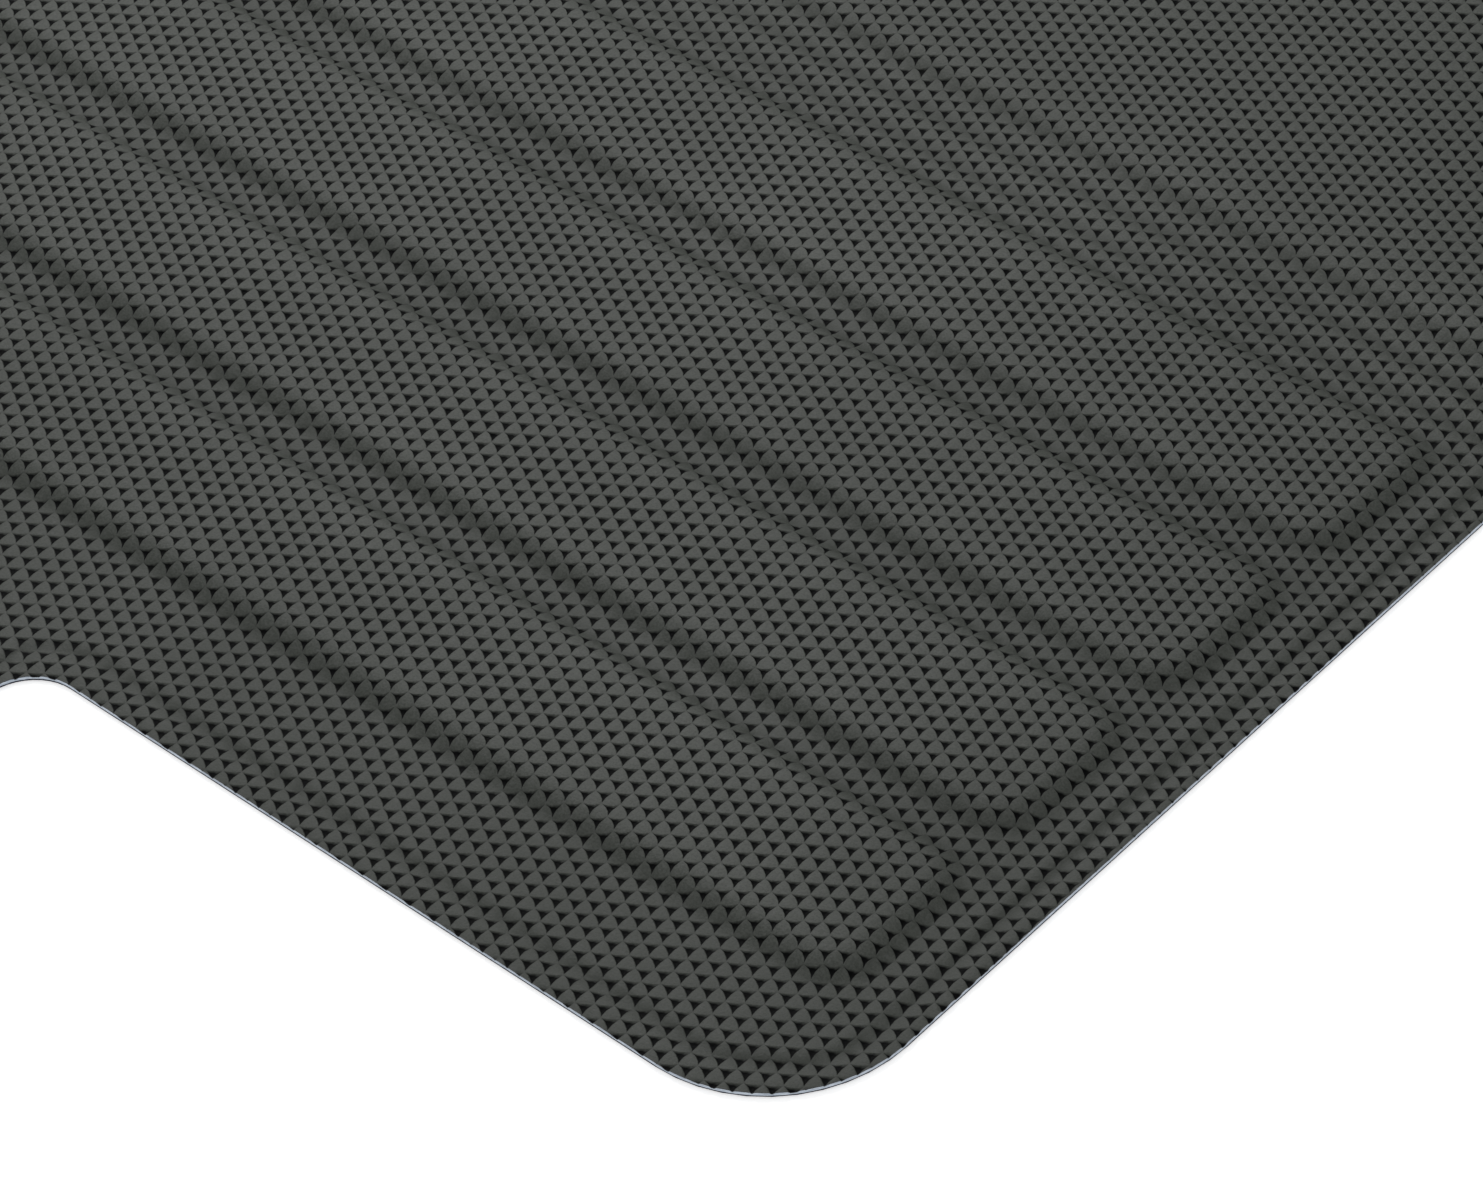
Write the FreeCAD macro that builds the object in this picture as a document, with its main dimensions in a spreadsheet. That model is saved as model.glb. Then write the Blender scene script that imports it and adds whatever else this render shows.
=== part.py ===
import FreeCAD, Part
import Sketcher
import math
import os

# Lipped office floor mat with a cushioned standing zone and a stiff rolling
# zone.  The mat lies flat: X runs across the mat, Y from the lip (-Y) to the
# rear edge (+Y), Z up.  The origin is the centre of the outline's box, on the
# floor.  All lengths are millimetres.
#
# Build-up from the floor: a plain base sheet, a pale tape all round its rim,
# foam cushions and a stiff board laid on it, and one embossed wear sheet
# pressed over all of them.  Welding the wear sheet down between the inserts
# leaves the grooves.

V = FreeCAD.Vector
doc = FreeCAD.newDocument("chair_mat")

# ------------------------------------------------------------------ dimensions
sheet = doc.addObject("Spreadsheet::Sheet", "Dimensions")
CELLS = [
    ("overall_width", 1143.0),      # 45 in
    ("overall_depth", 1346.0),      # 53 in, lip included
    ("lip_width", 635.0),           # 25 in
    ("lip_depth", 305.0),           # 12 in
    ("corner_radius", 41.5),
    ("notch_radius", 15.0),
    ("base_thickness", 0.45),
    ("tape_thickness", 0.6),
    ("skin_thickness", 0.55),
    ("flange_width", 9.3),          # raised rim
    ("tape_width", 8.4),            # the tape below the rim
    ("weld_width", 3.2),            # groove just inside the rim
    ("weld_depth", 0.25),
    ("front_margin", 41.9),         # shoulder or lip edge to the first cushion
    ("side_margin", 21.0),          # side edge to the ends of the inserts
    ("rear_margin", 21.0),
    ("cushion_depth", 52.2),
    ("cushion_rhythm", 61.25),
    ("cushion_radius", 14.0),
    ("insert_rise", 2.75),          # raised faces above the welded floor
    ("zone_start", 310.0),          # shoulder line to the rolling zone
    ("groove_first", 287.2),        # shoulder line to the flex grooves
    ("groove_second", 300.1),
    ("groove_width", 3.0),
    ("groove_depth", 0.3),
    ("tuck", 0.9),                  # the skin's sideways thickness at a wall
]
SHAPE = [(0.0, 0.0), (2.0, 0.38), (4.0, 0.67), (6.5, 0.90), (9.4, 1.0)]
for n, (inset, part) in enumerate(SHAPE):
    CELLS.append(("wall_inset_" + "abcde"[n], inset))      # across the wall
    CELLS.append(("wall_part_" + "abcde"[n], part))        # share of the rise
for row, (alias, value) in enumerate(CELLS, start=1):
    sheet.set("A%d" % row, alias)
    sheet.set("B%d" % row, str(value))
    sheet.setAlias("B%d" % row, alias)
doc.recompute()
D = {alias: float(sheet.get(alias)) for alias, _ in CELLS}


def value(text):
    """Number of an expression written with Dimensions.alias terms."""
    out = text
    for alias in sorted(D, key=len, reverse=True):
        out = out.replace("Dimensions." + alias, repr(D[alias]))
    total = 0.0
    for term in out.replace(" ", "").replace("-", "+-").split("+"):
        if not term:
            continue
        sign = 1.0
        while term.startswith("-"):
            sign, term = -sign, term[1:]
        product = 1.0
        for piece in term.split("*"):
            factors = piece.split("/")
            number = float(factors[0])
            for divisor in factors[1:]:
                number /= float(divisor)
            product *= number
        total += sign * product
    return total


def dim(alias):
    return "Dimensions." + alias


# Expressions are sums of terms with one space round each sign, so that they
# can be added and taken away as text.
def neg(a):
    words = a.split(" ")
    words[0] = words[0][1:] if words[0].startswith("-") else "-" + words[0]
    return " ".join({"+": "-", "-": "+"}.get(w, w) for w in words)


def add(a, b):
    return a + " - " + b[1:] if b.startswith("-") else a + " + " + b


def sub(a, b):
    return add(a, neg(b))


HALF_W = dim("overall_width") + "/2"
HALF_D = dim("overall_depth") + "/2"
HALF_L = dim("lip_width") + "/2"
SHOULDER = add(neg(HALF_D), dim("lip_depth"))


def make_body(label):
    body = doc.addObject("PartDesign::Body", label)
    body.Label = label
    return body


def plane_of(body, role):
    return next(f for f in body.Origin.OriginFeatures if f.Role == role)


def new_sketch(body, name, height=None):
    sk = body.newObject("Sketcher::SketchObject", name)
    sk.AttachmentSupport = [(plane_of(body, "XY_Plane"), "")]
    sk.MapMode = "FlatFace"
    if height is not None:
        sk.AttachmentOffset = FreeCAD.Placement(V(0, 0, value(height)),
                                                FreeCAD.Rotation())
        sk.setExpression("AttachmentOffset.Base.z", height)
    return sk


def rounded_loop(sk, corners, tag):
    """Closed loop of level and upright lines with a tangent arc at each corner.

    corners: (x, y, radius) as expressions, anticlockwise, first line level.
    Every line is held by its distance from the sketch's own axes.
    """
    n = len(corners)
    pts = [V(value(x), value(y), 0) for x, y, _ in corners]
    rad = [value(r) for _, _, r in corners]
    start, stop, arcs = [], [], []
    for k in range(n):
        p, a, b = pts[k], pts[k - 1], pts[(k + 1) % n]
        da, db = (a - p).normalize(), (b - p).normalize()
        stop.append(p + da * rad[k])
        start.append(p + db * rad[k])
        centre = p + da * rad[k] + db * rad[k]
        turn = (p - a).cross(b - p).z
        first, last = stop[k] - centre, start[k] - centre
        a0, a1 = math.atan2(first.y, first.x), math.atan2(last.y, last.x)
        if turn < 0:
            a0, a1 = a1, a0
        arcs.append((centre, a0, a1, turn > 0))
    lines, bows = [], []
    for k in range(n):
        nxt = (k + 1) % n
        lines.append(sk.addGeometry(Part.LineSegment(start[k], stop[nxt]), False))
        c, a0, a1, _ = arcs[nxt]
        circle = Part.Circle(c, V(0, 0, 1), rad[nxt])
        bows.append(sk.addGeometry(Part.ArcOfCircle(circle, a0, a1), False))
    for k in range(n):
        nxt = (k + 1) % n
        left = arcs[nxt][3]
        # line k -> arc at corner k+1 -> line k+1
        sk.addConstraint(Sketcher.Constraint(
            "Tangent", lines[k], 2, bows[k], 1 if left else 2))
        sk.addConstraint(Sketcher.Constraint(
            "Tangent", bows[k], 2 if left else 1, lines[nxt], 1))
    for k in range(n):
        nxt = (k + 1) % n
        level = abs(pts[k].y - pts[nxt].y) < abs(pts[k].x - pts[nxt].x)
        kind = "Horizontal" if level else "Vertical"
        sk.addConstraint(Sketcher.Constraint(kind, lines[k]))
        text = corners[k][1] if level else corners[k][0]
        number = value(text)
        way = "DistanceY" if level else "DistanceX"
        if abs(number) < 1e-9:
            sk.addConstraint(Sketcher.Constraint(
                "PointOnObject", lines[k], 1, -1 if level else -2))
            continue
        if number > 0:
            c = sk.addConstraint(Sketcher.Constraint(
                way, -1, 1, lines[k], 1, number))
        else:
            c = sk.addConstraint(Sketcher.Constraint(
                way, lines[k], 1, -1, 1, -number))
            text = neg(text)
        name = "%s_line_%d" % (tag, k)
        sk.renameConstraint(c, name)
        sk.setExpression("Constraints." + name, text)
    for k in range(n):
        nxt = (k + 1) % n
        c = sk.addConstraint(Sketcher.Constraint("Radius", bows[k], rad[nxt]))
        name = "%s_radius_%d" % (tag, k)
        sk.renameConstraint(c, name)
        sk.setExpression("Constraints." + name, corners[nxt][2])


def mat_outline(sk, inset, tag):
    """The mat's T-shaped outline, moved inwards by inset."""
    out_r = sub(dim("corner_radius"), inset)
    in_r = add(dim("notch_radius"), inset)
    w, l = sub(HALF_W, inset), sub(HALF_L, inset)
    nw, nl = neg(w), neg(l)
    rear = sub(HALF_D, inset)
    front = neg(rear)
    shoulder = add(SHOULDER, inset)
    rounded_loop(sk, [
        (nl, front, out_r), (l, front, out_r), (l, shoulder, in_r),
        (w, shoulder, out_r), (w, rear, out_r), (nw, rear, out_r),
        (nw, shoulder, out_r), (nl, shoulder, in_r)], tag)


def pad_feature(body, sk, length, name):
    pad = body.newObject("PartDesign::Pad", name)
    pad.Profile = sk
    pad.Length = value(length)
    pad.setExpression("Length", length)
    return pad


def pocket_feature(body, sk, length, name):
    cut = body.newObject("PartDesign::Pocket", name)
    cut.Profile = sk
    cut.Length = value(length)
    cut.setExpression("Length", length)
    return cut


def insert_loft(body, name, half_width, near, depth, low, rise, extra):
    """Rounded, crowned block lofted through five outlines.

    half_width, near, depth: outline at the foot; low: height of the foot;
    rise: height of the block; extra: how far every outline is drawn in.
    """
    sections = []
    for n, _ in enumerate(SHAPE):
        letter = "abcde"[n]
        inset = add(dim("wall_inset_" + letter), extra)
        up = add(low, dim("wall_part_" + letter) + "*" + rise)
        sk = new_sketch(body, "%s_outline_%s" % (name, letter), up)
        r = sub(dim("cushion_radius"), dim("wall_inset_" + letter))
        w, nw = sub(half_width, inset), neg(sub(half_width, inset))
        y0 = add(near, inset)
        y1 = sub(add(near, depth), inset)
        rounded_loop(sk, [(nw, y0, r), (w, y0, r), (w, y1, r), (nw, y1, r)],
                     "outline")
        sections.append(sk)
    doc.recompute()
    loft = body.newObject("PartDesign::AdditiveLoft", name + "_loft")
    loft.Profile = sections[0]
    loft.Sections = [(s, [""]) for s in sections[1:]]
    loft.Ruled = True
    return loft, sections[0]


def repeat(body, feature, count, name):
    body.Tip = feature
    doc.recompute()
    pattern = body.newObject("PartDesign::LinearPattern", name)
    pattern.Originals = [feature]
    pattern.Direction = (plane_of(body, "Y_Axis"), [""])
    step = dim("cushion_rhythm")
    pattern.Occurrences = count
    pattern.Length = value(step) * (count - 1)
    pattern.setExpression("Length", "%s * %d" % (step, count - 1))
    body.Tip = pattern
    return pattern


# -------------------------------------------------------------------- base sheet
base_sheet = make_body("base_sheet")
sk = new_sketch(base_sheet, "base_outline")
mat_outline(sk, "0", "outer")
pad_feature(base_sheet, sk, dim("base_thickness"), "base_slab")

# --------------------------------------------------------------------- edge tape
# A pale tape welded between the two sheets all round; its cut edge shows.
edge_tape = make_body("edge_tape")
sk = new_sketch(edge_tape, "tape_outline")
mat_outline(sk, "0", "outer")
mat_outline(sk, dim("tape_width"), "inner")
pad_feature(edge_tape, sk, dim("tape_thickness"), "tape_ring")
edge_tape.Placement = FreeCAD.Placement(V(0, 0, D["base_thickness"]),
                                        FreeCAD.Rotation())
edge_tape.setExpression("Placement.Base.z", dim("base_thickness"))

# ---------------------------------------------------------------- foam cushions
BODY_NEAR = add(SHOULDER, dim("front_margin"))
LIP_NEAR = add(neg(HALF_D), dim("front_margin"))
BODY_HALF = sub(HALF_W, dim("side_margin"))
LIP_HALF = sub(HALF_L, dim("side_margin"))

inserts = []


def cushion(label, half_width, near, step):
    body = make_body(label)
    # drawn with its near edge on the body's own X axis, then moved into place
    insert_loft(body, label, half_width, "0", dim("cushion_depth"), "0",
                dim("insert_rise"), dim("tuck"))
    place = add(near, "%d*" % step + dim("cushion_rhythm"))
    body.Placement = FreeCAD.Placement(
        V(0, value(place), D["base_thickness"]), FreeCAD.Rotation())
    body.setExpression("Placement.Base.y", place)
    body.setExpression("Placement.Base.z", dim("base_thickness"))
    inserts.append(body)
    return body


for k in range(4):
    cushion("cushion_%d" % (k + 1), BODY_HALF, BODY_NEAR, k)
for k in range(4):
    cushion("lip_cushion_%d" % (k + 1), LIP_HALF, LIP_NEAR, k)

# ----------------------------------------------------------- rolling zone's board
ZONE_NEAR = add(SHOULDER, dim("zone_start"))
ZONE_DEPTH = sub(sub(HALF_D, dim("rear_margin")), ZONE_NEAR)
rolling_board = make_body("rolling_board")
insert_loft(rolling_board, "board", BODY_HALF, "0", ZONE_DEPTH, "0",
            dim("insert_rise"), dim("tuck"))
rolling_board.Placement = FreeCAD.Placement(
    V(0, value(ZONE_NEAR), D["base_thickness"]), FreeCAD.Rotation())
rolling_board.setExpression("Placement.Base.y", ZONE_NEAR)
rolling_board.setExpression("Placement.Base.z", dim("base_thickness"))
inserts.append(rolling_board)

# -------------------------------------------------------------------- wear sheet
# Its upper side first, as a solid that reaches down to the base sheet; the
# inserts and the tape are then cut out of it, which leaves the thin skin.
form = make_body("skin_form")
sk = new_sketch(form, "skin_outline", dim("base_thickness"))
mat_outline(sk, "0", "outer")
pad_feature(form, sk, dim("tape_thickness") + " + " + dim("skin_thickness"),
            "skin_slab")
doc.recompute()
RIM = (dim("base_thickness") + " + " + dim("tape_thickness") + " + "
       + dim("skin_thickness"))
FLOOR = dim("base_thickness") + " + " + dim("skin_thickness")
sk = new_sketch(form, "floor_outline", RIM)
mat_outline(sk, dim("flange_width"), "inner")
pocket_feature(form, sk, dim("tape_thickness"), "sunk_floor")
doc.recompute()
sk = new_sketch(form, "weld_outline", FLOOR)
mat_outline(sk, dim("flange_width"), "outer")
mat_outline(sk, add(dim("flange_width"), dim("weld_width")), "inner")
pocket_feature(form, sk, dim("weld_depth"), "weld_groove")
doc.recompute()
for label, at in (("flex_groove_front", "groove_first"),
                  ("flex_groove_rear", "groove_second")):
    sk = new_sketch(form, label + "_outline", FLOOR)
    reach = sub(sub(HALF_W, dim("flange_width")), dim("weld_width"))
    mid = add(SHOULDER, dim(at))
    y0 = sub(mid, dim("groove_width") + "/2")
    y1 = add(mid, dim("groove_width") + "/2")
    r = dim("groove_width") + "/4"
    rounded_loop(sk, [(neg(reach), y0, r), (reach, y0, r), (reach, y1, r),
                      (neg(reach), y1, r)], "groove")
    pocket_feature(form, sk, dim("groove_depth"), label)
    doc.recompute()
first, _ = insert_loft(form, "standing", BODY_HALF, BODY_NEAR,
                       dim("cushion_depth"), FLOOR, dim("insert_rise"), "0")
repeat(form, first, 4, "standing_row")
doc.recompute()
lip_first, _ = insert_loft(form, "lip", LIP_HALF, LIP_NEAR,
                           dim("cushion_depth"), FLOOR, dim("insert_rise"), "0")
repeat(form, lip_first, 4, "lip_row")
doc.recompute()
insert_loft(form, "zone", BODY_HALF, ZONE_NEAR, ZONE_DEPTH, FLOOR,
            dim("insert_rise"), "0")
doc.recompute()

hollow = doc.addObject("Part::MultiFuse", "insert_space")
hollow.Shapes = inserts + [edge_tape]
doc.recompute()
top_sheet = doc.addObject("Part::Cut", "top_sheet")
top_sheet.Label = "top_sheet"
top_sheet.Base = form
top_sheet.Tool = hollow
doc.recompute()

# ------------------------------------------------------------------------ output
for obj in doc.Objects:
    bad = [state for state in obj.State if state in ("Invalid", "Error")]
    if bad:
        raise RuntimeError("%s is %s" % (obj.Label, bad))

nodes = [base_sheet, edge_tape, rolling_board, top_sheet] + inserts[:-1]
os.makedirs("parts", exist_ok=True)
for obj in nodes:
    shape = obj.Shape
    if shape.isNull() or not shape.isValid() or len(shape.Solids) != 1:
        raise RuntimeError("%s: null, invalid or not one solid (%d)"
                           % (obj.Label, len(shape.Solids)))
for obj in nodes:
    shape = obj.Shape
    shape.exportStep(os.path.join("parts", obj.Label + ".step"))
    box = shape.BoundBox
    print("%-16s volume %10.1f mm3  x %8.2f %8.2f  y %8.2f %8.2f  z %5.2f %5.2f"
          % (obj.Label, shape.Volume, box.XMin, box.XMax, box.YMin, box.YMax,
             box.ZMin, box.ZMax))
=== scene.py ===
import math

import bpy
import numpy as np
from mathutils import Matrix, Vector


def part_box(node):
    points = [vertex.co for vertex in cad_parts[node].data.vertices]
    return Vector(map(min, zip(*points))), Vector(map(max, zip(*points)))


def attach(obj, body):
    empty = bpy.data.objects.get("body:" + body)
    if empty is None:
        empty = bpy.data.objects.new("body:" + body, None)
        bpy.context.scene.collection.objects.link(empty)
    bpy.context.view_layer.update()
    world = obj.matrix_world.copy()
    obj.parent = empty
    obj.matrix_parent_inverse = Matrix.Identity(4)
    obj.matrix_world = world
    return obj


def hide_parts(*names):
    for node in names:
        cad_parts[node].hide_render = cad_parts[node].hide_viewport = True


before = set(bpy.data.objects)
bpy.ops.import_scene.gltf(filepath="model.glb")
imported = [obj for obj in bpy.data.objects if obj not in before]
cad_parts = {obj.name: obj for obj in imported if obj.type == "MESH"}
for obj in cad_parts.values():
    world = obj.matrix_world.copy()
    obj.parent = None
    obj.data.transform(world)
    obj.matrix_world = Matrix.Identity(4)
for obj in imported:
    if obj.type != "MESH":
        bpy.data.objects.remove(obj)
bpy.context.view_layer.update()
MM = 0.001

# ------------------------------------------------------------------ mat layout
# Millimetres, in the row frame, as the CAD has them.
low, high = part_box("base_sheet")
HALF_W, HALF_D = high.x / MM, high.y / MM
HALF_L, LIP = 317.5, 305.0
SHOULDER = -HALF_D + LIP
CORNER_R, NOTCH_R = 41.5, 15.0
BASE_TOP, RIM, FLOOR, TOP = 0.45, 1.60, 1.00, 3.75
RISE = TOP - FLOOR
FLANGE, WELD = 9.3, 3.2
SIDE = 21.0
BAR_DEPTH, RHYTHM, BAR_R = 52.2, 61.25, 14.0
BAR_NEAR = SHOULDER + 41.9
LIP_NEAR = -HALF_D + 41.9
ZONE_NEAR, ZONE_FAR = SHOULDER + 310.0, HALF_D - SIDE
FLEX = (SHOULDER + 287.2, SHOULDER + 300.1)

# Emboss: rows of small scales with three-cornered pits between them.
PITCH = 4.64
COL, HALF_ROW = 0.854, 0.520          # in pitches
TURN = math.radians(1.75)
DEPTH = 0.58                           # mm


def smooth(t):
    t = np.clip(t, 0.0, 1.0)
    return t * t * (3 - 2 * t)


def box_out(x, y, cx, cy, hx, hy, r):
    """Distance outside a rounded rectangle, negative inside."""
    qx = np.abs(x - cx) - (hx - r)
    qy = np.abs(y - cy) - (hy - r)
    return (np.hypot(np.maximum(qx, 0), np.maximum(qy, 0))
            + np.minimum(np.maximum(qx, qy), 0) - r)


def inset(x, y):
    """Distance in from the outline, negative outside. Both notches beside the
    lip are rounded, and lines of equal distance run round them too."""
    a = box_out(x, y, 0, (SHOULDER + HALF_D) / 2, HALF_W, (HALF_D - SHOULDER) / 2,
                CORNER_R)
    reach = SHOULDER + 400.0
    b = box_out(x, y, 0, (-HALF_D + reach) / 2, HALF_L, (reach + HALF_D) / 2,
                CORNER_R)
    u, v = np.maximum(NOTCH_R - a, 0), np.maximum(NOTCH_R - b, 0)
    return np.hypot(u, v) - np.maximum(NOTCH_R, np.minimum(a, b))


def crown(s):
    """Share of the rise at a distance s in from an insert's foot: a short
    wall, then a shoulder that eases into the flat top."""
    s = 0.5 * (s + np.sqrt(s * s + 1.0 ** 2)) - 0.04
    t, u = np.clip(s / 8.0, 0, 1), np.clip(s / 17.0, 0, 1)
    return 0.92 * (1 - (1 - t) ** 1.85) + 0.08 * (1 - (1 - u) ** 2)


def bars(x, y, near, half, count):
    k = np.clip(np.round((y - near - BAR_DEPTH / 2) / RHYTHM), 0, count - 1)
    cy = near + BAR_DEPTH / 2 + k * RHYTHM
    return -box_out(x, y, 0, cy, half, BAR_DEPTH / 2, BAR_R)


def waves(x, y):
    """Slow unevenness of a pressed sheet, about a tenth of a millimetre."""
    out = np.zeros_like(x)
    for lx, ly, ph, size in ((310, 95, 0.4, 0.035), (170, 260, 1.9, 0.030),
                             (90, 140, 3.1, 0.022), (60, 47, 5.2, 0.012),
                             (-120, 75, 2.2, 0.018)):
        out += size * np.sin(2 * math.pi * (x / lx + y / ly) + ph)
    return out


def macro(x, y):
    """Height of the wear sheet's upper side, without the emboss."""
    d = inset(x, y)
    # flange, weld line, the bead pushed up beside it, then the floor
    along = np.minimum(y - SHOULDER, HALF_D - y)
    across = np.where(y > SHOULDER, HALF_W - np.abs(x), HALF_L - np.abs(x))
    along = np.where(y > SHOULDER, along, y + HALF_D)
    beside = smooth((along - across) / 36.0 + 0.5)
    z = np.interp(d + 2.7 * beside, BORDER_D, BORDER_Z)
    z -= 0.10 * np.clip(1 - d / 1.6, 0, 1) ** 2
    inside = smooth((d - 10.0) / 5.0)
    band = np.interp(y, BAND_Y, BAND_Z) - FLOOR
    z += inside * band
    s = raised(x, y)
    # the line pressed along the far foot of each bar
    past = np.minimum(y - (BAR_NEAR + BAR_DEPTH), 3 * RHYTHM + 8)
    past = (past + RHYTHM / 2) % RHYTHM - RHYTHM / 2
    far = np.where((y > BAR_NEAR + 8) & (y < FLEX[0] - 6), 1.0, 0.0)
    z -= inside * far * 0.40 * np.exp(-((past + 0.6) / 1.9) ** 2) * (s > -9)
    h = crown(np.maximum(s, -6.0))
    z = z + (RISE) * h * (1 - (z - FLOOR) / RISE * np.clip(h, 0, 1))
    return z + waves(x, y) * smooth(d / 30.0)


def raised(x, y):
    """Distance in from the foot of the nearest bar or of the rolling zone."""
    s = np.maximum(bars(x, y, BAR_NEAR, HALF_W - SIDE, 4),
                   bars(x, y, LIP_NEAR, HALF_L - SIDE, 4))
    zone = -box_out(x, y, 0, (ZONE_NEAR + ZONE_FAR) / 2, HALF_W - SIDE,
                    (ZONE_FAR - ZONE_NEAR) / 2, BAR_R)
    return np.maximum(s, zone)


def eased(knots, step=0.1, width=0.9):
    """A polyline through knots, its corners rounded off."""
    kx, kz = np.array(knots, float).T
    at = np.arange(kx[0] - 4, kx[-1] + 4, step)
    z = np.interp(at, kx, kz)
    k = np.arange(-3 * width, 3 * width + step / 2, step)
    w = np.exp(-(k / width) ** 2)
    z = np.convolve(np.pad(z, len(k) // 2, mode="edge"), w / w.sum(), "valid")
    return at, z[: len(at)]


BORDER_D, BORDER_Z = eased(((0, RIM), (6.6, RIM), (8.9, 0.76), (9.8, 0.68),
                            (12.6, 1.40), (13.9, 1.42), (18.5, FLOOR), (30, FLOOR)))
foot4 = BAR_NEAR + 3 * RHYTHM + BAR_DEPTH
BAND_Y, BAND_Z = eased(((foot4 - 6, FLOOR), (foot4 - 0.6, FLOOR),
                        (foot4 + 2.8, 1.32), (FLEX[0] - 3.6, 1.32),
                        (FLEX[0] - 0.4, 0.70), (FLEX[0] + 0.4, 0.70),
                        (FLEX[0] + 4.2, 1.36), (FLEX[1] - 4.2, 1.36),
                        (FLEX[1] - 0.4, 0.70), (FLEX[1] + 0.4, 0.70),
                        (FLEX[1] + 4.0, 1.34), (ZONE_NEAR - 3.2, 1.28),
                        (ZONE_NEAR + 1.0, FLOOR), (ZONE_NEAR + 4, FLOOR)),
                       width=0.9)


def weld_groove_shade(x, y):
    """How near a point is to the middle of a line pressed by the welding bar, and to
    the foot of each raised part. It sets painted shade, partly also the pressed weld.
    """
    d = inset(x, y)
    main = y > SHOULDER
    along = np.where(main, np.minimum(y - SHOULDER, HALF_D - y), y + HALF_D)
    across = np.where(main, HALF_W - np.abs(x), HALF_L - np.abs(x))
    beside = smooth((along - across) / 36.0 + 0.5)
    line = 0.42 * np.exp(-((d + 2.7 * beside - 11.3) / 2.1) ** 2)
    inside = smooth((d - 10.0) / 5.0)
    for g in FLEX:
        line = np.maximum(line, 1.35 * inside * np.exp(-((y - g) / 2.2) ** 2))
    s = raised(x, y)
    past = np.minimum(y - (BAR_NEAR + BAR_DEPTH), 3 * RHYTHM + 8)
    past = (past + RHYTHM / 2) % RHYTHM - RHYTHM / 2
    far = np.where((y > BAR_NEAR + 8) & (y < FLEX[0] - 4), 1.0, 0.0)
    line = np.maximum(line, 0.55 * inside * far * (s > -9)
                      * np.exp(-((past - 0.4) / 2.0) ** 2))
    return np.maximum(line, 0.10 * np.exp(-((s + 0.2) / 2.2) ** 2))




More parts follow.
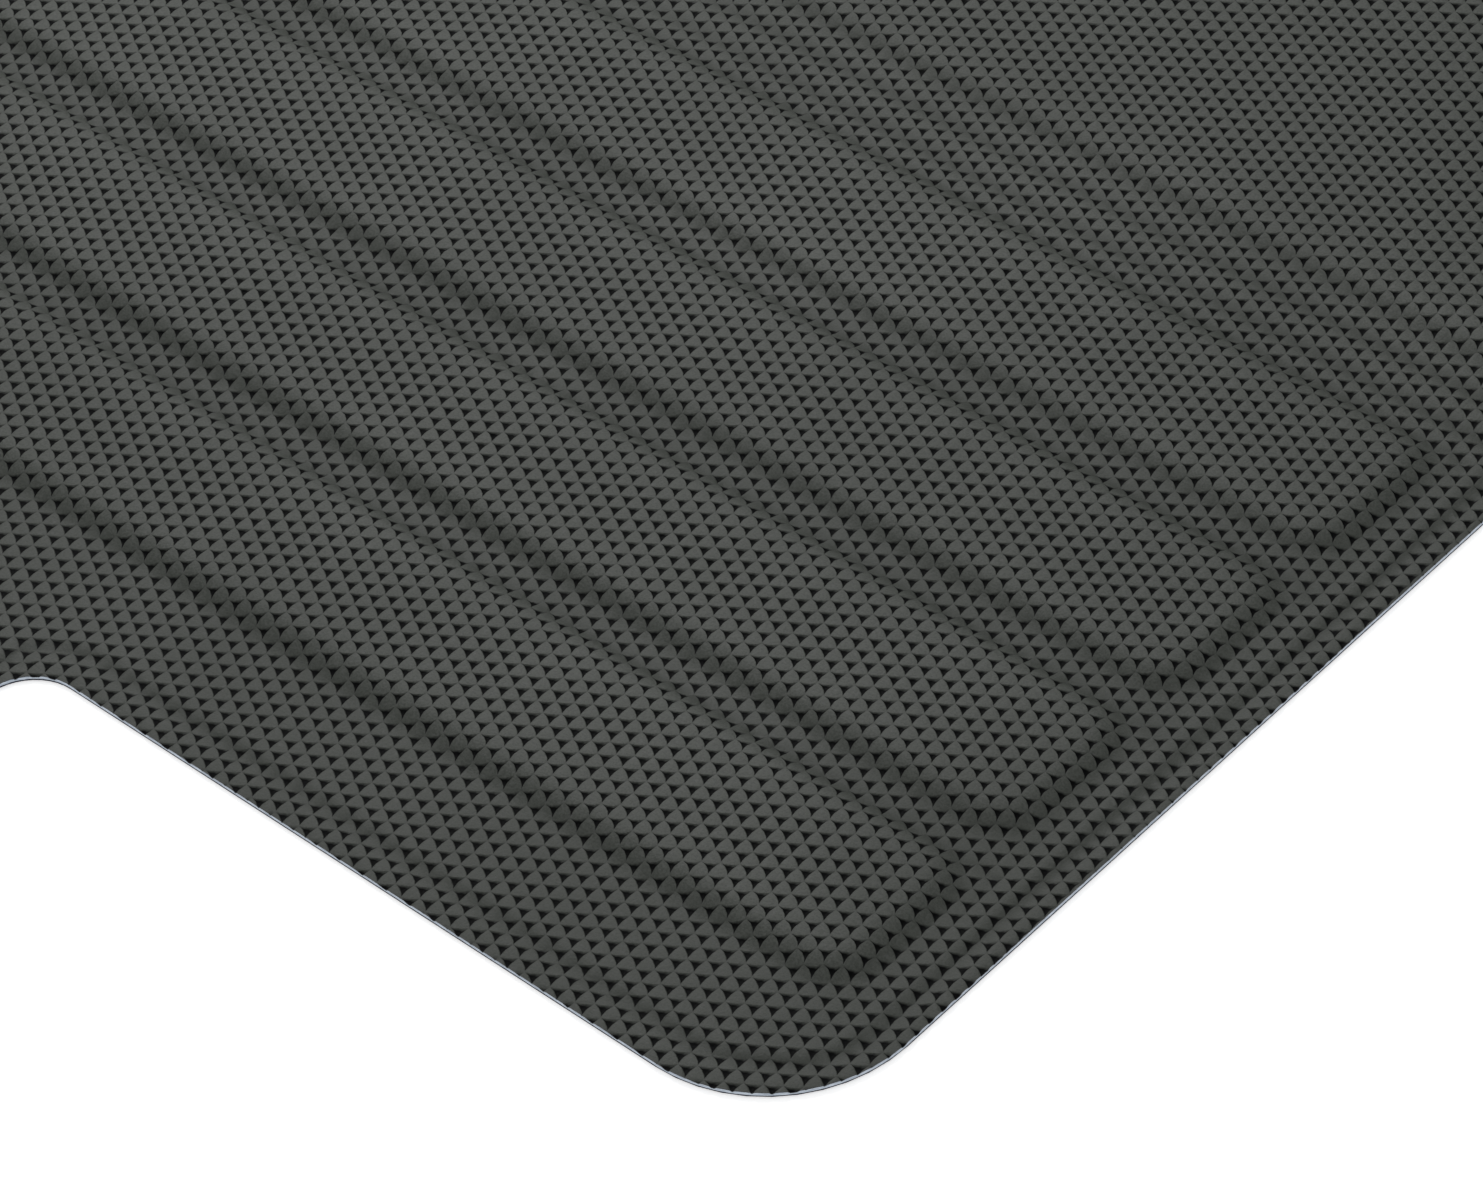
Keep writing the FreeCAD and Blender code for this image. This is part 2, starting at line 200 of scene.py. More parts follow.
# -------------------------------------------------------------- embossed lattice
def lattice():
    """Verts (N,2), emboss share (N,), painted pit shade (N,), kind (N,), faces (M,3)
    over the mat.
    """
    ca, sa = math.cos(TURN), math.sin(TURN)
    ni, nj = 156, 150
    i = np.arange(-ni, ni + 2)
    j = np.arange(-nj, nj + 2)
    I, J = np.meshgrid(i, j, indexing="ij")
    gx = I * COL
    gy = (2 * J + (I & 1)) * HALF_ROW
    # offsets of each cell's own vertices from its node, and their depth
    e = np.array([COL, HALF_ROW])
    f = np.array([COL, -HALF_ROW])
    mu, ml = np.array([HALF_ROW, -COL]), np.array([HALF_ROW, COL])

    def bow(chord, side, s, rise):
        return s * chord + rise * 4 * s * (1 - s) * side

    centre = np.array([COL / 3, -HALF_ROW])
    corner_a, corner_b, corner_c = np.zeros(2), np.array([0, -2 * HALF_ROW]), f

    def drawn_in(c, share):
        return c + share * (centre - c)

    own = [  # (offset, depth share, kind) kind 0 rim, 1 scale, 2 pit
        (np.zeros(2), 0.12, 0),                    # 0 node
        (bow(e, mu, 0.30, 0.082), 0.0, 0),         # 1 u1
        (bow(e, mu, 0.70, 0.082), 0.0, 0),         # 2 u2
        (bow(f, ml, 0.30, 0.096), 0.0, 0),         # 3 l1
        (bow(f, ml, 0.70, 0.096), 0.0, 0),         # 4 l2
        (np.array([COL - 0.050, 0.0]), 0.0, 0),    # 5 r
        (np.array([0.440, -0.030]), 0.92, 2),      # 6 pit, left
        (np.array([0.690, -0.185]), 0.96, 2),      # 7 pit, down
        (np.array([0.700, 0.095]), 1.0, 2),        # 8 pit, up
        (drawn_in(corner_a, 0.34), 0.0, 1),        # 9 scale by A
        (drawn_in(corner_b, 0.34), 0.0, 1),        # 10 scale by B
        (drawn_in(corner_c, 0.34), 0.0, 1),        # 11 scale by C
    ]
    K = len(own)
    n_cells = I.size
    base = np.arange(n_cells).reshape(I.shape) * K
    vx = np.empty((n_cells, K))
    vy = np.empty((n_cells, K))
    share = np.empty((n_cells, K))
    pit_shade = np.zeros((n_cells, K))
    kind = np.empty((n_cells, K), np.int8)
    mx = ((gx + 0.62) * ca - gy * sa) * PITCH
    my = ((gx + 0.62) * sa + gy * ca) * PITCH
    s = raised(mx, my).ravel()
    pull = smooth((s + 2.5) / 4.5) * (1 - smooth((s - 7.0) / 15.0))
    pit_mid = np.array([0.635, -0.02])
    for k, (off, dep, kd) in enumerate(own):
        px, py = gx.ravel() + off[0], gy.ravel() + off[1]
        if 1 <= k <= 5:
            px = px + 0.17 * pull * (pit_mid[0] - off[0])
            py = py + 0.17 * pull * (pit_mid[1] - off[1])
            dep = 0.09
        elif 6 <= k <= 8:
            dep = dep * (1 - 0.12 * pull)
        vx[:, k] = (px * ca - py * sa) * PITCH
        vy[:, k] = (px * sa + py * ca) * PITCH
        share[:, k], kind[:, k] = dep, kd
        # painted shade: darker colour deep in the pits, a little at the nodes
        pit_shade[:, k] = {0: 0.08, 6: 0.86, 7: 1.0, 8: 0.66}.get(k, 0.0)
    # neighbours
    odd = (I & 1).astype(bool)
    ii, jj = np.meshgrid(np.arange(len(i)), np.arange(len(j)), indexing="ij")

    def cell(di, dj):
        a, b = ii + di, jj + dj
        good = (a >= 0) & (a < len(i)) & (b >= 0) & (b < len(j))
        return np.where(good, base[np.clip(a, 0, len(i) - 1),
                                   np.clip(b, 0, len(j) - 1)], -1)

    here = base
    nu = cell(1, np.where(odd, 1, 0))
    nl = cell(1, np.where(odd, 0, -1))
    below = cell(0, -1)
    before = cell(-1, np.where(odd, 0, -1))
    ok = (nu >= 0) & (nl >= 0) & (below >= 0) & (before >= 0)
    cx = vx[:, 6].reshape(I.shape)
    cy = vy[:, 6].reshape(I.shape)
    ok &= inset(cx, cy) > -9.0
    h, u, l, b, p = (t[ok] for t in (here, nu, nl, below, before))
    tri = []

    def add(a, b_, c):
        tri.append(np.stack([a, b_, c], 1))

    U1, U2, L1, L2, R = h + 1, h + 2, h + 3, h + 4, h + 5
    PL, PD, PU = h + 6, h + 7, h + 8
    # pit
    add(U1, h, PL); add(h, L1, PL); add(L1, PD, PL); add(L1, L2, PD)
    add(L2, l, PD); add(l, R, PD); add(R, PU, PD); add(R, u, PU)
    add(u, U2, PU); add(U2, PL, PU); add(U2, U1, PL); add(PL, PD, PU)
    # scale
    A, B, C = h, b, l
    r = p + 5
    v1, v2 = b + 1, b + 2
    SA, SB, SC = h + 9, h + 10, h + 11
    add(L1, A, SA); add(A, r, SA); add(r, B, SB); add(B, v1, SB)
    add(v2, C, SC); add(C, L2, SC); add(r, SB, SA); add(SB, v1, v2)
    add(SB, v2, SC); add(SC, L2, L1); add(SC, L1, SA); add(SA, SB, SC)
    F = np.stack(tri, 1).reshape(-1, 3)
    return (np.stack([vx.ravel(), vy.ravel()], 1), share.ravel(), pit_shade.ravel(),
            kind.ravel(), F)


def clipped(P, share, pit_shade, kind, F):
    """Cuts the lattice off at the outline. Returns the verts, their emboss share,
    painted pit shade and kind (3 on the cut), the faces and the directed cut edges."""
    phi = inset(P[:, 0], P[:, 1])
    # a vertex almost on the outline is taken to be on it
    phi = np.where(np.abs(phi) < 1e-4, 1e-4, phi)
    pos = phi > 0
    n_in = pos[F].sum(1)
    keep = F[n_in == 3]
    faces, cut_pairs, edges = [keep], [], []
    new_id = {}
    new_list = []
    start = len(P)

    def at(a, b):
        key = (a, b) if a < b else (b, a)
        k = new_id.get(key)
        if k is None:
            k = start + len(new_list)
            new_id[key] = k
            t = phi[key[0]] / (phi[key[0]] - phi[key[1]])
            new_list.append((key[0], key[1], t))
        return k

    extra = []
    for tri in F[n_in == 1]:
        k = int(np.argmax(pos[tri]))
        a, b, c = tri[k], tri[(k + 1) % 3], tri[(k + 2) % 3]
        ab, ac = at(a, b), at(a, c)
        extra.append((a, ab, ac))
        edges.append((ab, ac))
    for tri in F[n_in == 2]:
        k = int(np.argmin(pos[tri]))
        a, b, c = tri[k], tri[(k + 1) % 3], tri[(k + 2) % 3]   # a is outside
        ab, ac = at(a, b), at(a, c)
        extra.append((ab, b, c))
        extra.append((ab, c, ac))
        edges.append((ac, ab))
    na = np.array([t[0] for t in new_list])
    nb = np.array([t[1] for t in new_list])
    tt = np.array([t[2] for t in new_list])[:, None]
    newP = P[na] * (1 - tt) + P[nb] * tt
    news = share[na] * (1 - tt[:, 0]) + share[nb] * tt[:, 0]
    newd = pit_shade[na] * (1 - tt[:, 0]) + pit_shade[nb] * tt[:, 0]
    P = np.vstack([P, newP])
    share = np.concatenate([share, news])
    pit_shade = np.concatenate([pit_shade, newd])
    kind = np.concatenate([kind, np.full(len(newP), 3, np.int8)])
    F = np.vstack([keep, np.array(extra)])
    return P, share, pit_shade, kind, F, np.array(edges)


def new_mesh(name, V, F, smooth_all=True):
    me = bpy.data.meshes.new(name)
    me.vertices.add(len(V))
    me.vertices.foreach_set("co", np.ascontiguousarray(V, np.float32).ravel())
    me.loops.add(3 * len(F))
    me.loops.foreach_set("vertex_index", np.ascontiguousarray(F, np.int32).ravel())
    me.polygons.add(len(F))
    me.polygons.foreach_set("loop_start", np.arange(0, 3 * len(F), 3, dtype=np.int32))
    me.update(calc_edges=True)
    if smooth_all:
        me.shade_smooth()
    ob = bpy.data.objects.new(name, me)
    bpy.context.scene.collection.objects.link(ob)
    return ob


def mark_sharp(me, test):
    e = np.empty(len(me.edges) * 2, np.int32)
    me.edges.foreach_get("vertices", e)
    e = e.reshape(-1, 2)
    sharp = test(e[:, 0], e[:, 1])
    layer = me.attributes.get("sharp_edge") or me.attributes.new(
        "sharp_edge", "BOOLEAN", "EDGE")
    layer.data.foreach_set("value", sharp)


def give(me, name, values):
    layer = me.attributes.new(name, "FLOAT", "POINT")
    layer.data.foreach_set("value", np.ascontiguousarray(values, np.float32))


P, share, pit_shade, kind, F = lattice()
P, share, pit_shade, kind, F, cut = clipped(P, share, pit_shade, kind, F)
used = np.zeros(len(P), bool)
used[F.ravel()] = True
remap = np.cumsum(used) - 1
P, share, pit_shade, kind = P[used], share[used], pit_shade[used], kind[used]
F, cut = remap[F], remap[cut]
X, Y = P[:, 0], P[:, 1]
D_in = inset(X, Y)
zm = macro(X, Y)
# pits are as deep as the sheet is thick, less where it is welded down
deep = np.minimum(DEPTH, np.maximum(zm - BASE_TOP - 0.06, 0.10))
deep = np.minimum(deep, 0.44 + 0.14 * smooth((zm - 1.15) / 0.9))
z = zm - deep * share
V = np.stack([X, Y, z], 1)
strips = (smooth((Y - foot4 - 0.5) / 3) * smooth((ZONE_NEAR - Y) / 3)
          * smooth((D_in - 12) / 6))
# darker colour on the low floors, along the pressed lines and at the feet of the raised
# parts: partly pressed weld, partly painted shade
weld_and_shade = np.clip(0.30 * (1 - smooth((zm - FLOOR - 0.2) / 1.6)) * (1 - strips)
                    + 0.60 * weld_groove_shade(X, Y), 0, 1)
slope_tri = V[F]
nn = np.cross(slope_tri[:, 1] - slope_tri[:, 0], slope_tri[:, 2] - slope_tri[:, 0])
nz = nn[:, 2] / np.linalg.norm(nn, axis=1)
print("faces steeper than 50, 60, 66 degrees", [int((nz < math.cos(math.radians(a))).sum()) for a in (50, 60, 66)], "down", int((nz < 0).sum()))

# The outline's vertices in order, starting anywhere.
follow = dict(zip(cut[:, 0].tolist(), cut[:, 1].tolist()))
ring = [int(cut[0, 0])]
while True:
    nxt = follow.get(ring[-1])
    if nxt is None or nxt == ring[0]:
        break
    ring.append(nxt)
ring = np.array(ring)
print("lattice", len(V), "verts", len(F), "faces", len(cut), "cut edges",
      len(ring), "in the ring")

# --------------------------------------------------------------- materials
def nodes_of(name):
    m = bpy.data.materials.new(name)
    m.use_nodes = True
    nt = m.node_tree
    nt.nodes.clear()
    out = nt.nodes.new("ShaderNodeOutputMaterial")
    bsdf = nt.nodes.new("ShaderNodeBsdfPrincipled")
    nt.links.new(bsdf.outputs[0], out.inputs[0])
    return m, nt, bsdf


def place(nt):
    return nt.nodes.new("ShaderNodeTexCoord").outputs["Object"]


def noise(nt, where, scale, detail=2.0, rough=0.5):
    n = nt.nodes.new("ShaderNodeTexNoise")
    n.inputs["Scale"].default_value = scale
    n.inputs["Detail"].default_value = detail
    n.inputs["Roughness"].default_value = rough
    nt.links.new(where, n.inputs["Vector"])
    return n.outputs["Fac"]


def spread(nt, value, a, b, lo, hi):
    n = nt.nodes.new("ShaderNodeMapRange")
    n.inputs["From Min"].default_value = a
    n.inputs["From Max"].default_value = b
    n.inputs["To Min"].default_value = lo
    n.inputs["To Max"].default_value = hi
    nt.links.new(value, n.inputs["Value"])
    return n.outputs["Result"]


def math_node(nt, op, a, b=None):
    n = nt.nodes.new("ShaderNodeMath")
    n.operation = op
    for k, v in enumerate((a, b)):
        if v is None:
            continue
        if isinstance(v, (int, float)):
            n.inputs[k].default_value = v
        else:
            nt.links.new(v, n.inputs[k])
    return n.outputs[0]


def mix(nt, fac, a, b, kind="MIX"):
    n = nt.nodes.new("ShaderNodeMix")
    n.data_type = "RGBA"
    n.blend_type = kind
    for socket, v in ((n.inputs[0], fac), (n.inputs[6], a), (n.inputs[7], b)):
        if isinstance(v, (int, float)):
            socket.default_value = v
        elif isinstance(v, tuple):
            socket.default_value = (*v, 1.0)
        else:
            nt.links.new(v, socket)
    return n.outputs[2]


def bump(nt, height, strength, distance):
    n = nt.nodes.new("ShaderNodeBump")
    n.inputs["Strength"].default_value = strength
    n.inputs["Distance"].default_value = distance
    nt.links.new(height, n.inputs["Height"])
    return n.outputs["Normal"]


def wear_vinyl():
    m, nt, b = nodes_of("wear_vinyl")
    p = place(nt)
    # painted shade: the pits' colour is darkened and their specular level lowered,
    # standing in for the shade inside them
    pit_shade_attr = nt.nodes.new("ShaderNodeAttribute")
    pit_shade_attr.attribute_name = "painted_pit_shade"
    painted_pit_shade = pit_shade_attr.outputs["Fac"]
    grain = noise(nt, p, 1500.0, 3.0, 0.6)
    fleck = noise(nt, p, 900.0, 2.0, 0.5)
    cloud = noise(nt, p, 9.0, 3.0, 0.55)
    tone = mix(nt, spread(nt, grain, 0.40, 0.60, 0.0, 1.0),
               (0.0290, 0.0334, 0.0274), (0.0500, 0.0560, 0.0474))
    tone = mix(nt, spread(nt, fleck, 0.54, 0.72, 0.0, 0.6), tone,
               (0.062, 0.066, 0.061))
    tone = mix(nt, spread(nt, cloud, 0.35, 0.65, 0.0, 0.18), tone,
               (0.0265, 0.0300, 0.0255))
    # painted shade, partly pressed weld: darker colour on the low floors, along the
    # pressed lines and at the feet of the raised parts
    weld_and_shade_paint = nt.nodes.new("ShaderNodeAttribute")
    weld_and_shade_paint.attribute_name = "weld_and_shade_paint"
    tone = mix(nt, weld_and_shade_paint.outputs["Fac"], tone,
               (0.0175, 0.0215, 0.0160))
    ramp = nt.nodes.new("ShaderNodeMapRange")
    ramp.interpolation_type = "SMOOTHSTEP"
    ramp.inputs["From Min"].default_value = 0.0
    ramp.inputs["From Max"].default_value = 0.58
    nt.links.new(painted_pit_shade, ramp.inputs["Value"])
    deep = ramp.outputs["Result"]
    colour = mix(nt, deep, tone, (0.0014, 0.0017, 0.0019))
    nt.links.new(colour, b.inputs["Base Color"])
    nt.links.new(spread(nt, deep, 0.0, 1.0, 0.36, 0.04),
                 b.inputs["Specular IOR Level"])
    rough = math_node(nt, "ADD", spread(nt, grain, 0.3, 0.7, 0.50, 0.62),
                      spread(nt, cloud, 0.3, 0.7, -0.03, 0.03))
    nt.links.new(rough, b.inputs["Roughness"])
    nt.links.new(bump(nt, grain, 0.6, 0.00022), b.inputs["Normal"])
    return m


def cut_vinyl():
    m, nt, b = nodes_of("cut_vinyl")
    p = place(nt)
    tone = mix(nt, spread(nt, noise(nt, p, 1500.0, 2.0), 0.3, 0.7, 0.0, 1.0),
               (0.012, 0.014, 0.018), (0.024, 0.027, 0.033))
    nt.links.new(tone, b.inputs["Base Color"])
    b.inputs["Roughness"].default_value = 0.5
    return m


def edge_pvc():
    m, nt, b = nodes_of("edge_pvc")
    p = place(nt)
    stretch = nt.nodes.new("ShaderNodeMapping")
    stretch.inputs["Scale"].default_value = (1, 1, 9)
    nt.links.new(p, stretch.inputs["Vector"])
    streak = noise(nt, stretch.outputs[0], 420.0, 3.0, 0.6)
    # pale bluish tone: partly the tape's own colour, partly a painted highlight on its
    # glossy cut face
    tone = mix(nt, spread(nt, streak, 0.32, 0.68, 0.0, 1.0),
               (0.27, 0.32, 0.39), (0.62, 0.69, 0.78))
    nt.links.new(tone, b.inputs["Base Color"])
    nt.links.new(spread(nt, streak, 0.3, 0.7, 0.35, 0.5), b.inputs["Roughness"])
    nt.links.new(bump(nt, streak, 0.3, 0.00015), b.inputs["Normal"])
    return m


def base_vinyl():
    m, nt, b = nodes_of("base_vinyl")
    p = place(nt)
    v = nt.nodes.new("ShaderNodeTexVoronoi")
    v.inputs["Scale"].default_value = 700.0
    nt.links.new(p, v.inputs["Vector"])
    hair = noise(nt, p, 1300.0, 4.0, 0.65)
    cloud = noise(nt, p, 6.0, 4.0, 0.6)
    tone = mix(nt, spread(nt, hair, 0.3, 0.7, 0.0, 1.0),
               (0.0045, 0.0065, 0.0165), (0.0105, 0.0135, 0.0280))
    tone = mix(nt, spread(nt, cloud, 0.35, 0.7, 0.0, 0.35), tone,
               (0.014, 0.017, 0.030))
    nt.links.new(tone, b.inputs["Base Color"])
    nt.links.new(spread(nt, cloud, 0.3, 0.7, 0.48, 0.66), b.inputs["Roughness"])
    b.inputs["Specular IOR Level"].default_value = 0.10
    height = math_node(nt, "ADD", math_node(nt, "MULTIPLY", v.outputs["Distance"], 0.8),
                       hair)
    nt.links.new(bump(nt, height, 0.5, 0.00025), b.inputs["Normal"])
    return m


def foam():
    m, nt, b = nodes_of("foam")
    p = place(nt)
    v = nt.nodes.new("ShaderNodeTexVoronoi")
    v.feature = "DISTANCE_TO_EDGE"
    v.inputs["Scale"].default_value = 1100.0
    nt.links.new(p, v.inputs["Vector"])
    cells = spread(nt, v.outputs["Distance"], 0.0, 0.25, 0.0, 1.0)
    cloud = noise(nt, p, 30.0, 3.0, 0.6)
    tone = mix(nt, cells, (0.016, 0.016, 0.018), (0.055, 0.055, 0.058))
    tone = mix(nt, spread(nt, cloud, 0.3, 0.7, 0.0, 0.4), tone, (0.040, 0.040, 0.041))
    nt.links.new(tone, b.inputs["Base Color"])
    b.inputs["Roughness"].default_value = 0.9
    nt.links.new(bump(nt, cells, 0.6, 0.0004), b.inputs["Normal"])
    return m


def board_pvc():
    m, nt, b = nodes_of("board_pvc")
    p = place(nt)
    swirl = noise(nt, p, 45.0, 5.0, 0.65)
    grain = noise(nt, p, 1600.0, 2.0, 0.5)
    tone = mix(nt, spread(nt, swirl, 0.3, 0.7, 0.0, 1.0),
               (0.24, 0.25, 0.26), (0.34, 0.35, 0.355))
    nt.links.new(tone, b.inputs["Base Color"])
    nt.links.new(spread(nt, grain, 0.3, 0.7, 0.4, 0.55), b.inputs["Roughness"])
    nt.links.new(bump(nt, grain, 0.3, 0.0001), b.inputs["Normal"])
    return m


WEAR, CUT, EDGE, BASE, FOAM, BOARD = (
    wear_vinyl(), cut_vinyl(), edge_pvc(), base_vinyl(), foam(), board_pvc())

# ------------------------------------------------------------ the wear sheet
# One sheet, kept as bands of whole scales that meet vertex to vertex, so that
# each band stays a mesh of a handy size.
edge_top = z[ring]
tape_top = np.clip(edge_top - 0.20, BASE_TOP + 0.25, 1.36)
tape_z = np.zeros(len(V))
tape_z[ring] = tape_top
mid_y = V[F].mean(1)[:, 1]
# Bands: two in the lip, eight in the body.
stops = [-HALF_D - 5, -HALF_D + LIP / 2, SHOULDER]
stops += [SHOULDER + (HALF_D - SHOULDER) * k / 8 for k in range(1, 8)] + [HALF_D + 5]
band = np.digitize(mid_y, stops[1:-1])
cut_mid = V[cut].mean(1)[:, 1]
cut_band = np.digitize(cut_mid, stops[1:-1])
sheet_pieces = []
for n in range(len(stops) - 1):
    f = F[band == n]
    c = cut[cut_band == n]
    ids, inv = np.unique(np.concatenate([f.ravel(), c.ravel()]), return_inverse=True)
    f = inv[: f.size].reshape(-1, 3)
    c = inv[f.size:].reshape(-1, 2)
    v = V[ids]
    # the cut edge of the sheet: from each cut vertex straight down to the tape
    lowered = np.unique(c)
    drop = np.full(len(ids), -1)
    drop[lowered] = len(ids) + np.arange(len(lowered))
    vd = v[lowered].copy()
    vd[:, 2] = tape_z[ids[lowered]]
    a, b = c[:, 0], c[:, 1]
    wall = np.vstack([np.stack([b, a, drop[a]], 1), np.stack([b, drop[a], drop[b]], 1)])
    v = np.vstack([v, vd])
    ob = new_mesh("wear_sheet_%02d" % (n + 1), v * MM, np.vstack([f, wall]))
    k = np.concatenate([kind[ids], np.full(len(lowered), 4, np.int8)])
    # painted shade, partly pressed weld, carried per vertex
    weld_and_shade_pts = np.concatenate([weld_and_shade[ids], weld_and_shade[ids[lowered]]])
    mark_sharp(ob.data, lambda p, q: ((k[p] == 0) & (k[q] == 0))
               | ((k[p] == 3) & (k[q] == 3)))
    # painted shade in the pits, none on the cut wall
    painted_pit_shade = np.concatenate([pit_shade[ids], np.zeros(len(lowered))])
    give(ob.data, "painted_pit_shade", painted_pit_shade)
    give(ob.data, "weld_and_shade_paint", weld_and_shade_pts)
    ob.data.materials.append(WEAR)
    ob.data.materials.append(CUT)
    which = np.zeros(len(f) + len(wall), np.int32)
    which[len(f):] = 1
    ob.data.polygons.foreach_set("material_index", which)
    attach(ob, "root")
    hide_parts("top_sheet")
    sheet_pieces.append(ob)
    print(ob.name, len(ob.data.polygons))

# ------------------------------------------------------------- the edge tape
def slid(x, y, by):
    """Points moved by into the mat, square to the outline."""
    e = 0.02
    gx = (inset(x + e, y) - inset(x - e, y)) / (2 * e)
    gy = (inset(x, y + e) - inset(x, y - e)) / (2 * e)
    n = np.maximum(np.hypot(gx, gy), 1e-9)
    return x + by * gx / n, y + by * gy / n


def strip(loops, name, closed_section=True):
    """Triangles between equal closed loops of points."""
    n = len(loops[0])
    v = np.vstack(loops)
    f = []
    k = np.arange(n)
    k2 = (k + 1) % n
    pairs = list(range(len(loops)))
    ends = pairs[1:] + ([0] if closed_section else [])
    for a, b in zip(pairs, ends):
        f.append(np.stack([a * n + k, a * n + k2, b * n + k2], 1))
        f.append(np.stack([a * n + k, b * n + k2, b * n + k], 1))
    return new_mesh(name, v * MM, np.vstack(f))


rx, ry = V[ring, 0], V[ring, 1]
loops = [np.stack([rx, ry, np.full(len(rx), BASE_TOP)], 1),
         np.stack([rx, ry, tape_top], 1)]
x1, y1 = slid(rx, ry, 0.35)
loops.append(np.stack([x1, y1, np.full(len(rx), 0.49)], 1))
x2, y2 = slid(rx, ry, 8.4)
loops.append(np.stack([x2, y2, np.full(len(rx), 0.49)], 1))
loops.append(np.stack([x2, y2, np.full(len(rx), BASE_TOP)], 1))
tape = strip(loops, "edge_tape_strip")
nr = len(ring)
mark_sharp(tape.data, lambda p, q: (p // nr) == (q // nr))
tape.data.materials.append(EDGE)
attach(tape, "root")
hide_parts("edge_tape")

# -------------------------------------------------------- foam and board inside
def rounded_ring(cx, cy, hx, hy, r, n_arc=10):
    pts = []
    for qx, qy, a0 in ((1, -1, -90), (1, 1, 0), (-1, 1, 90), (-1, -1, 180)):
        for k in range(n_arc + 1):
            a = math.radians(a0 + 90 * k / n_arc)
            pts.append((cx + qx * (hx - r) + r * math.cos(a),
                        cy + qy * (hy - r) + r * math.sin(a)))
    out = []
    for a, b in zip(pts, pts[1:] + pts[:1]):
        length = math.hypot(b[0] - a[0], b[1] - a[1])
        steps = max(1, int(length / 12.0))
        for k in range(steps):
            t = k / steps
            out.append((a[0] + (b[0] - a[0]) * t, a[1] + (b[1] - a[1]) * t))
    return np.array(out)


def block(name, half, near, far, top, radius=BAR_R - 0.9):
    """A crowned block with a flat underside, on the base sheet."""
    cy, hy, hx = (near + far) / 2, (far - near) / 2 - 0.9, half - 0.9
    ins = (0.0, 0.0, 0.35, 1.0, 1.9, 3.0, 4.4, 6.0, 8.0, 10.0, 11.5)
    outline = rounded_ring(0, cy, hx, hy, radius)
    loops = []
    for k, s in enumerate(ins):
        dx, dy = outline[:, 0], outline[:, 1] - cy
        qx = np.clip(dx, -(hx - radius), hx - radius)
        qy = np.clip(dy, -(hy - radius), hy - radius)
        away = np.stack([dx - qx, dy - qy], 1)
        away /= np.maximum(np.hypot(away[:, 0], away[:, 1]), 1e-9)[:, None]
        px, py = dx - away[:, 0] * s, dy - away[:, 1] * s
        zz = BASE_TOP + (0.0 if k == 0 else 0.12 + (top - BASE_TOP - 0.12)
                         * float(crown(np.array(s))) / float(crown(np.array(11.5))))
        loops.append(np.stack([px, py + cy, np.full(len(px), zz)], 1))
    n = len(outline)
    v = np.vstack(loops)
    f = []
    k = np.arange(n)
    k2 = (k + 1) % n
    for a in range(len(loops) - 1):
        b = a + 1
        f.append(np.stack([a * n + k, a * n + k2, b * n + k2], 1))
        f.append(np.stack([a * n + k, b * n + k2, b * n + k], 1))
    faces = [tuple(int(i) for i in row) for row in np.vstack(f)]
    faces.append(tuple(range((len(loops) - 1) * n, len(loops) * n)))
    faces.append(tuple(reversed(range(n))))
    me = bpy.data.meshes.new(name)
    me.from_pydata([tuple(p) for p in v * MM], [], faces)
    me.update()
    me.shade_smooth()
    me.set_sharp_from_angle(angle=math.radians(50))
    ob = bpy.data.objects.new(name, me)
    bpy.context.scene.collection.objects.link(ob)
    return ob


INNER_TOP = TOP - DEPTH - 0.12
for k in range(4):
    for stem, node, half, near in (
            ("foam_bar_%d", "cushion_%d", HALF_W - SIDE, BAR_NEAR),
            ("foam_lip_bar_%d", "lip_cushion_%d", HALF_L - SIDE, LIP_NEAR)):
        y0 = near + k * RHYTHM
        ob = block(stem % (k + 1), half, y0, y0 + BAR_DEPTH, INNER_TOP)
        ob.data.materials.append(FOAM)
        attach(ob, "root")
        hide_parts(node % (k + 1))
board = block("rolling_board_slab", HALF_W - SIDE, ZONE_NEAR, ZONE_FAR, INNER_TOP)
board.data.materials.append(BOARD)
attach(board, "root")
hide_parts("rolling_board")

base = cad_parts["base_sheet"]
base.data.materials.clear()
base.data.materials.append(BASE)

# ------------------------------------------------------------------- stage
floor_mat, nt, b = nodes_of("floor")
b.inputs["Base Color"].default_value = (0.85, 0.85, 0.85, 1)
b.inputs["Roughness"].default_value = 0.9
b.inputs["Specular IOR Level"].default_value = 0.1
b.inputs["Emission Color"].default_value = (1, 1, 1, 1)
b.inputs["Emission Strength"].default_value = 0.52
bpy.ops.mesh.primitive_plane_add(size=30, location=(0, 0, -0.0002))
floor = bpy.context.object
floor.name = "studio_floor"
floor.data.materials.append(floor_mat)

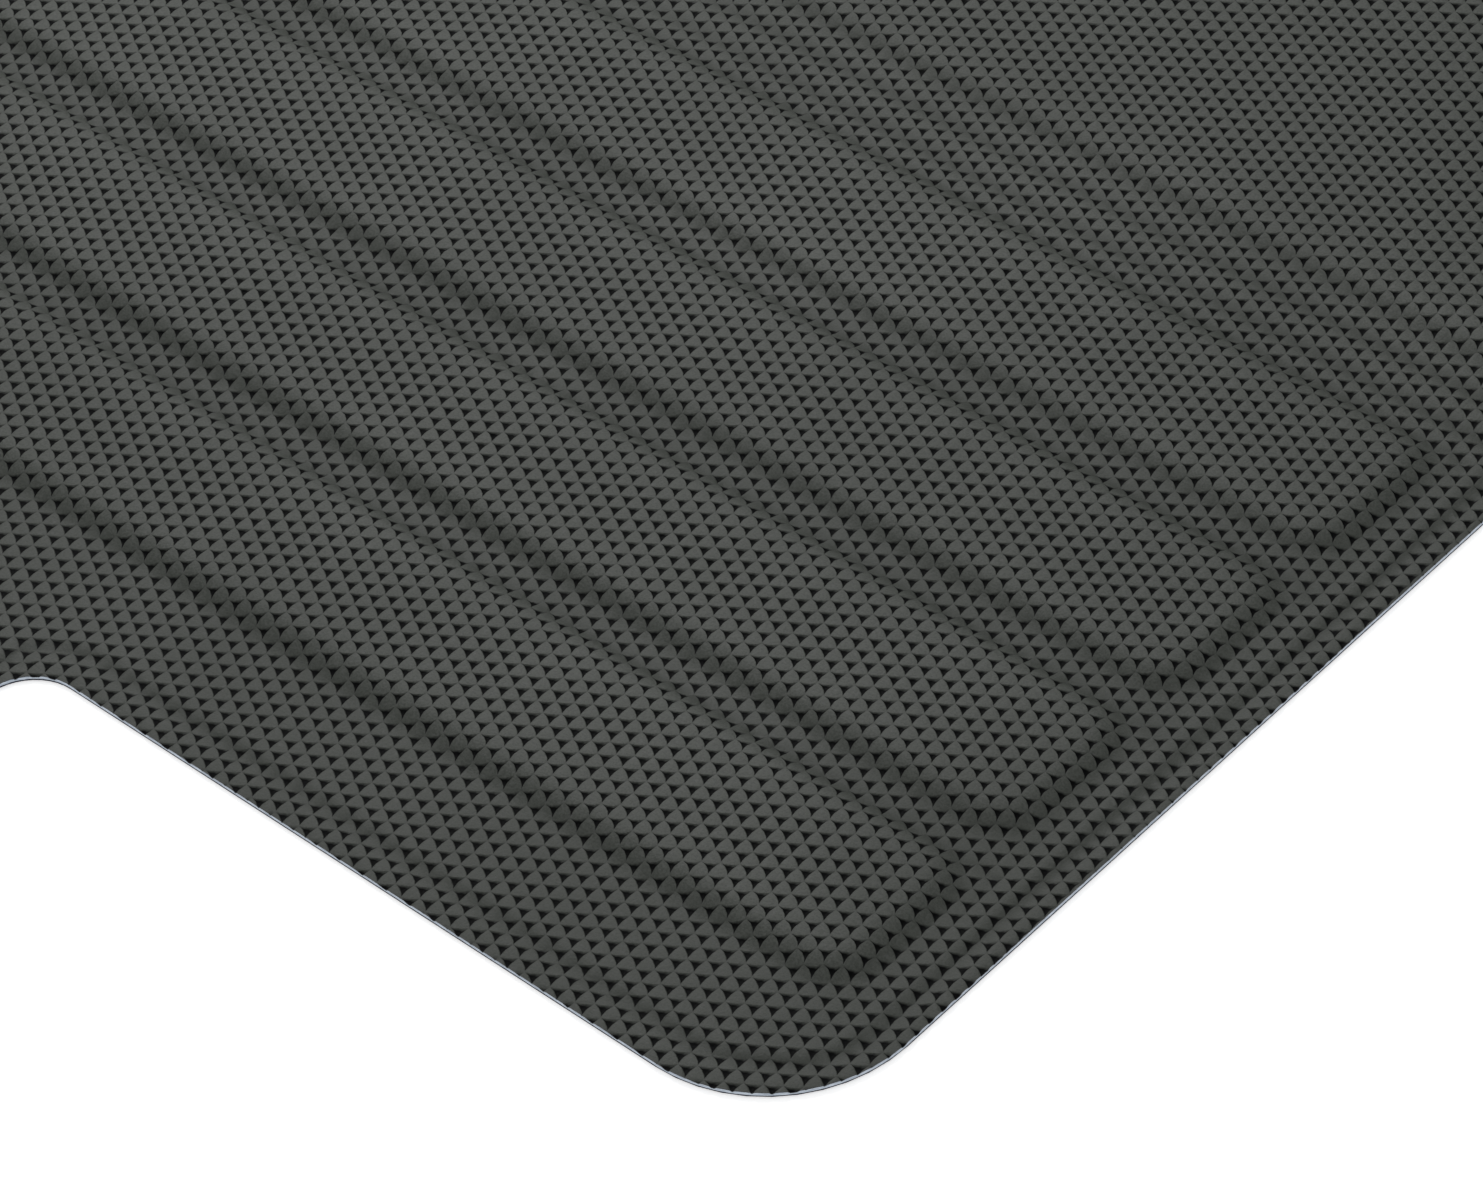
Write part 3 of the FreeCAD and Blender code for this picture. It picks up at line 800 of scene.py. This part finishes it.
world = bpy.data.worlds.new("studio")
bpy.context.scene.world = world
world.use_nodes = True
world.node_tree.nodes["Background"].inputs[0].default_value = (1, 1, 1, 1)
world.node_tree.nodes["Background"].inputs[1].default_value = 0.52


def lamp(name, at, to, size, watts, colour=(1, 1, 1)):
    data = bpy.data.lights.new(name, "AREA")
    data.shape = "RECTANGLE"
    data.size, data.size_y = size
    data.energy = watts
    data.color = colour
    ob = bpy.data.objects.new(name, data)
    bpy.context.scene.collection.objects.link(ob)
    ob.location = at
    d = np.array(to, float) - np.array(at, float)
    from mathutils import Vector
    ob.rotation_euler = Vector(d).to_track_quat("-Z", "Y").to_euler()
    return ob


lamp("back_softbox", (-0.36, 0.36, 0.92), (0.16, -0.08, 0.0), (0.75, 0.55), 8.0)
lamp("top_softbox", (0.1, 0.0, 2.4), (0.1, 0.0, 0.0), (2.0, 2.0), 3)

# ------------------------------------------------------------------ camera
def camera_axes(pitch, roll, yaw):
    c, s = math.cos(pitch), math.sin(pitch)
    cx, cz = np.array([1.0, 0, 0]), np.array([0, c, -s])
    R = np.stack([cx, np.cross(cz, cx), cz])
    c, s = math.cos(roll), math.sin(roll)
    tilt = np.array([[c, -s, 0], [s, c, 0], [0, 0, 1]])
    c, s = math.cos(yaw), math.sin(yaw)
    turn = np.array([[c, -s, 0], [s, c, 0], [0, 0, 1]])
    return tilt @ R @ turn


R = camera_axes(0.7756, -0.0851, -0.7892)
cam_data = bpy.data.cameras.new("camera")
cam_data.sensor_fit = "HORIZONTAL"
cam_data.sensor_width = 36.0
cam_data.lens = 142.46
cam_data.clip_start, cam_data.clip_end = 0.05, 100.0
cam = bpy.data.objects.new("camera", cam_data)
bpy.context.scene.collection.objects.link(cam)
corner = np.array([HALF_W, SHOULDER, 0.0]) * MM
eye = corner + np.array([132.62, -131.68, 221.51]) * PITCH * MM
M = np.eye(4)
M[:3, 0], M[:3, 1], M[:3, 2], M[:3, 3] = R[0], -R[1], -R[2], eye
cam.matrix_world = Matrix(M.tolist())
bpy.context.scene.camera = cam
bpy.context.scene.view_settings.view_transform = "Standard"
